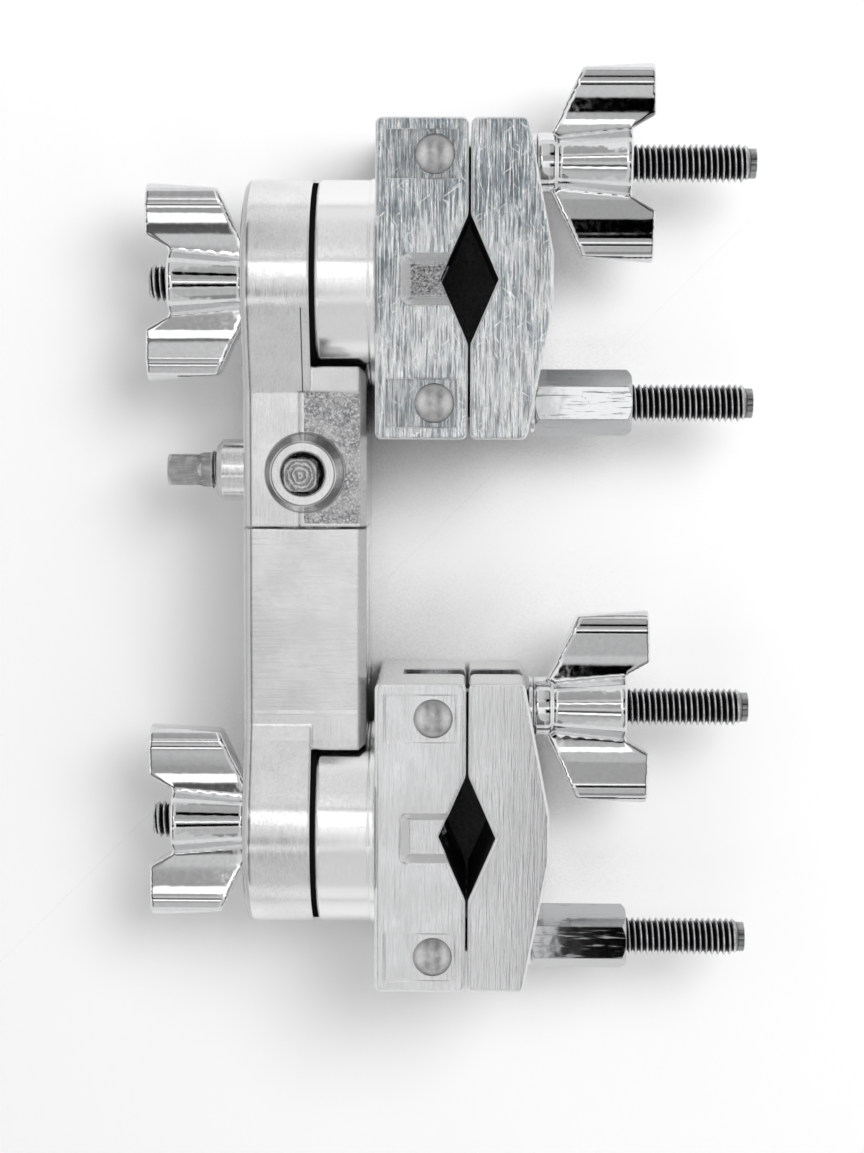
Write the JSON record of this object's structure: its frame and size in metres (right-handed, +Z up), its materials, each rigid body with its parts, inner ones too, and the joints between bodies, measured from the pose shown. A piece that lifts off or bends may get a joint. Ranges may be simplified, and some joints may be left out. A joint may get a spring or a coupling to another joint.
{
  "type": "double tube clamp",
  "caption": "Double grabber clamp: V-jaw clamps for round tubes on cast arms that swivel about a centre rod, tightened by swing bolts, wing nuts and long hex nuts.",
  "frame": {"origin": "on the surface that the clamp lies on, under the middle of its box", "axes": "+X from the arms towards the bolt tips, +Y from the lower clamp to the upper clamp, +Z up, along the tubes that the jaws hold"},
  "size_m": [0.1264, 0.1906, 0.0497],
  "materials": {
    "cast_arm": "satin, tumbled casting",
    "cast_jaw": "ground and brushed casting",
    "chrome_nut": "polished chrome plate",
    "bolt_steel": "dark rolled thread",
    "rivet_steel": "satin steel",
    "key_steel": "satin steel",
    "rod_steel": "ground steel",
    "friction": "dark fibre disc"
  },
  "bodies": {
    "lower_arm": {"lower_arm": "cast_arm", "swivel_rod": "rod_steel", "lower_friction_disc": "friction"},
    "upper_arm": {"upper_arm": "cast_arm", "upper_friction_disc": "friction"},
    "side_key_bolt": {"side_key_bolt": "key_steel"},
    "front_key_bolt": {"front_key_bolt": "key_steel"},
    "upper_fixed_jaw": {"upper_fixed_jaw": "cast_jaw", "upper_drum_bolt": "bolt_steel", "upper_wing_pin": "rivet_steel", "upper_hex_pin": "rivet_steel"},
    "upper_moving_jaw": {"upper_moving_jaw": "cast_jaw"},
    "upper_wing_bolt": {"upper_wing_bolt": "bolt_steel"},
    "upper_wing_washer": {"upper_wing_washer": "chrome_nut"},
    "upper_wing_nut": {"upper_wing_nut": "chrome_nut"},
    "upper_hex_bolt": {"upper_hex_bolt": "bolt_steel"},
    "upper_hex_washer": {"upper_hex_washer": "chrome_nut"},
    "upper_hex_nut": {"upper_hex_nut": "chrome_nut"},
    "upper_drum_washer": {"upper_drum_washer": "chrome_nut"},
    "upper_drum_nut": {"upper_drum_nut": "chrome_nut"},
    "lower_fixed_jaw": {"lower_fixed_jaw": "cast_jaw", "lower_drum_bolt": "bolt_steel", "lower_wing_pin": "rivet_steel", "lower_hex_pin": "rivet_steel"},
    "lower_moving_jaw": {"lower_moving_jaw": "cast_jaw"},
    "lower_wing_bolt": {"lower_wing_bolt": "bolt_steel"},
    "lower_wing_washer": {"lower_wing_washer": "chrome_nut"},
    "lower_wing_nut": {"lower_wing_nut": "chrome_nut"},
    "lower_hex_bolt": {"lower_hex_bolt": "bolt_steel"},
    "lower_hex_washer": {"lower_hex_washer": "chrome_nut"},
    "lower_hex_nut": {"lower_hex_nut": "chrome_nut"},
    "lower_drum_washer": {"lower_drum_washer": "chrome_nut"},
    "lower_drum_nut": {"lower_drum_nut": "chrome_nut"}
  },
  "joints": [
    {"name": "centre_swivel", "type": "hinge", "parent": "lower_arm", "child": "upper_arm", "pos_m": [-0.02913, -0.0001, 0.0215], "axis": [0, 1, 0], "continuous": true},
    {"name": "side_key_turn", "type": "hinge", "parent": "upper_arm", "child": "side_key_bolt", "pos_m": [-0.04183, 0.01115, 0.0215], "axis": [-1, 0, 0], "range_deg": [0, 720]},
    {"name": "front_key_turn", "type": "hinge", "parent": "upper_arm", "child": "front_key_bolt", "pos_m": [-0.02913, 0.01115, 0.0357], "axis": [0, 0, 1], "range_deg": [0, 720]},
    {"name": "upper_jaw_turn", "type": "hinge", "parent": "upper_arm", "child": "upper_fixed_jaw", "pos_m": [-0.02687, 0.0501, 0.0215], "axis": [1, 0, 0], "continuous": true},
    {"name": "upper_jaw_open", "type": "slide", "parent": "upper_fixed_jaw", "child": "upper_moving_jaw", "axis": [1, 0, 0], "range_m": [0, 0.0151]},
    {"name": "upper_wing_bolt_swing", "type": "hinge", "parent": "upper_fixed_jaw", "child": "upper_wing_bolt", "pos_m": [-0.00282, 0.0748, 0.0215], "axis": [0, 0, 1], "range_deg": [0, 75]},
    {"name": "upper_wing_nut_travel", "type": "slide", "parent": "upper_wing_bolt", "child": "upper_wing_washer", "axis": [1, 0, 0], "range_m": [0, 0.0151]},
    {"name": "upper_wing_nut_turn", "type": "hinge", "parent": "upper_wing_washer", "child": "upper_wing_nut", "pos_m": [0.01698, 0.0748, 0.0215], "axis": [1, 0, 0], "range_deg": [0, 4320]},
    {"name": "upper_hex_bolt_swing", "type": "hinge", "parent": "upper_fixed_jaw", "child": "upper_hex_bolt", "pos_m": [-0.00282, 0.0254, 0.0215], "axis": [0, 0, -1], "range_deg": [0, 15]},
    {"name": "upper_hex_nut_travel", "type": "slide", "parent": "upper_hex_bolt", "child": "upper_hex_washer", "axis": [1, 0, 0], "range_m": [0, 0.0151]},
    {"name": "upper_hex_nut_turn", "type": "hinge", "parent": "upper_hex_washer", "child": "upper_hex_nut", "pos_m": [0.01698, 0.0254, 0.0215], "axis": [1, 0, 0], "range_deg": [0, 4340]},
    {"name": "upper_drum_nut_travel", "type": "slide", "parent": "upper_fixed_jaw", "child": "upper_drum_washer", "axis": [-1, 0, 0], "range_m": [0, 0.0051]},
    {"name": "upper_drum_nut_turn", "type": "hinge", "parent": "upper_drum_washer", "child": "upper_drum_nut", "pos_m": [-0.03857, 0.0501, 0.0215], "axis": [-1, 0, 0], "range_deg": [0, 1440]},
    {"name": "lower_jaw_turn", "type": "hinge", "parent": "lower_arm", "child": "lower_fixed_jaw", "pos_m": [-0.02687, -0.0633, 0.0215], "axis": [1, 0, 0], "continuous": true},
    {"name": "lower_jaw_open", "type": "slide", "parent": "lower_fixed_jaw", "child": "lower_moving_jaw", "axis": [1, 0, 0], "range_m": [0, 0.0151]},
    {"name": "lower_wing_bolt_swing", "type": "hinge", "parent": "lower_fixed_jaw", "child": "lower_wing_bolt", "pos_m": [-0.00282, -0.0386, 0.0215], "axis": [0, 0, 1], "range_deg": [0, 15]},
    {"name": "lower_wing_nut_travel", "type": "slide", "parent": "lower_wing_bolt", "child": "lower_wing_washer", "axis": [1, 0, 0], "range_m": [0, 0.0151]},
    {"name": "lower_wing_nut_turn", "type": "hinge", "parent": "lower_wing_washer", "child": "lower_wing_nut", "pos_m": [0.01698, -0.0386, 0.0215], "axis": [1, 0, 0], "range_deg": [0, 4320]},
    {"name": "lower_hex_bolt_swing", "type": "hinge", "parent": "lower_fixed_jaw", "child": "lower_hex_bolt", "pos_m": [-0.00282, -0.088, 0.0215], "axis": [0, 0, -1], "range_deg": [0, 75]},
    {"name": "lower_hex_nut_travel", "type": "slide", "parent": "lower_hex_bolt", "child": "lower_hex_washer", "axis": [1, 0, 0], "range_m": [0, 0.0151]},
    {"name": "lower_hex_nut_turn", "type": "hinge", "parent": "lower_hex_washer", "child": "lower_hex_nut", "pos_m": [0.01698, -0.088, 0.0215], "axis": [1, 0, 0], "range_deg": [0, 4340]},
    {"name": "lower_drum_nut_travel", "type": "slide", "parent": "lower_fixed_jaw", "child": "lower_drum_washer", "axis": [-1, 0, 0], "range_m": [0, 0.0051]},
    {"name": "lower_drum_nut_turn", "type": "hinge", "parent": "lower_drum_washer", "child": "lower_drum_nut", "pos_m": [-0.03857, -0.0633, 0.0215], "axis": [-1, 0, 0], "range_deg": [0, 1440]}
  ],
  "couplings": [
    {"joint": "upper_wing_nut_travel", "follows": "upper_wing_nut_turn", "m_per_rad": 0.00019894},
    {"joint": "upper_hex_nut_travel", "follows": "upper_wing_nut_turn", "m_per_rad": 0.00019894},
    {"joint": "upper_hex_nut_turn", "follows": "upper_wing_nut_turn", "ratio": 1},
    {"joint": "upper_jaw_open", "follows": "upper_wing_nut_turn", "m_per_rad": 0.00019894},
    {"joint": "upper_drum_nut_travel", "follows": "upper_drum_nut_turn", "m_per_rad": 0.00019894},
    {"joint": "lower_wing_nut_travel", "follows": "lower_wing_nut_turn", "m_per_rad": 0.00019894},
    {"joint": "lower_hex_nut_travel", "follows": "lower_wing_nut_turn", "m_per_rad": 0.00019894},
    {"joint": "lower_hex_nut_turn", "follows": "lower_wing_nut_turn", "ratio": 1},
    {"joint": "lower_jaw_open", "follows": "lower_wing_nut_turn", "m_per_rad": 0.00019894},
    {"joint": "lower_drum_nut_travel", "follows": "lower_drum_nut_turn", "m_per_rad": 0.00019894}
  ]
}
